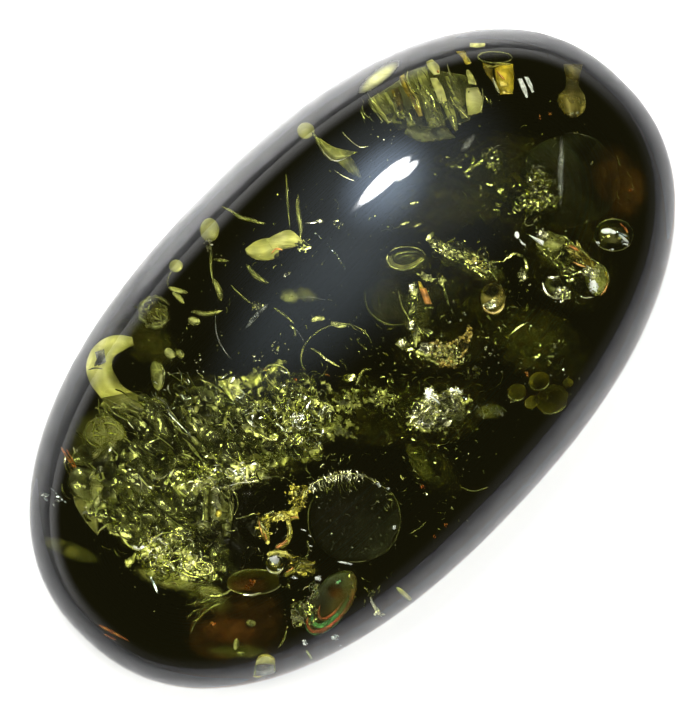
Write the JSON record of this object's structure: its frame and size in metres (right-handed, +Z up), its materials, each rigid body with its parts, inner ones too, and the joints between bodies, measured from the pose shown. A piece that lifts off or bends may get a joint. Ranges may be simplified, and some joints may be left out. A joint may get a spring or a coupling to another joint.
{
  "type": "amber cabochon gemstone",
  "caption": "Long oval cabochon of polished dark green-brown amber, domed on top and flat at the back, with sun spangles, bubbles and crumpled flakes inside.",
  "frame": {"origin": "on the flat back, under the middle of the stone", "axes": "+X along the long axis, +Y along the short axis, +Z up through the crown of the dome"},
  "size_m": [0.032, 0.0184, 0.007],
  "materials": {
    "amber": "polished, see-through dark green-brown fossil resin"
  },
  "bodies": {
    "root": {"amber": "amber"}
  },
  "joints": []
}
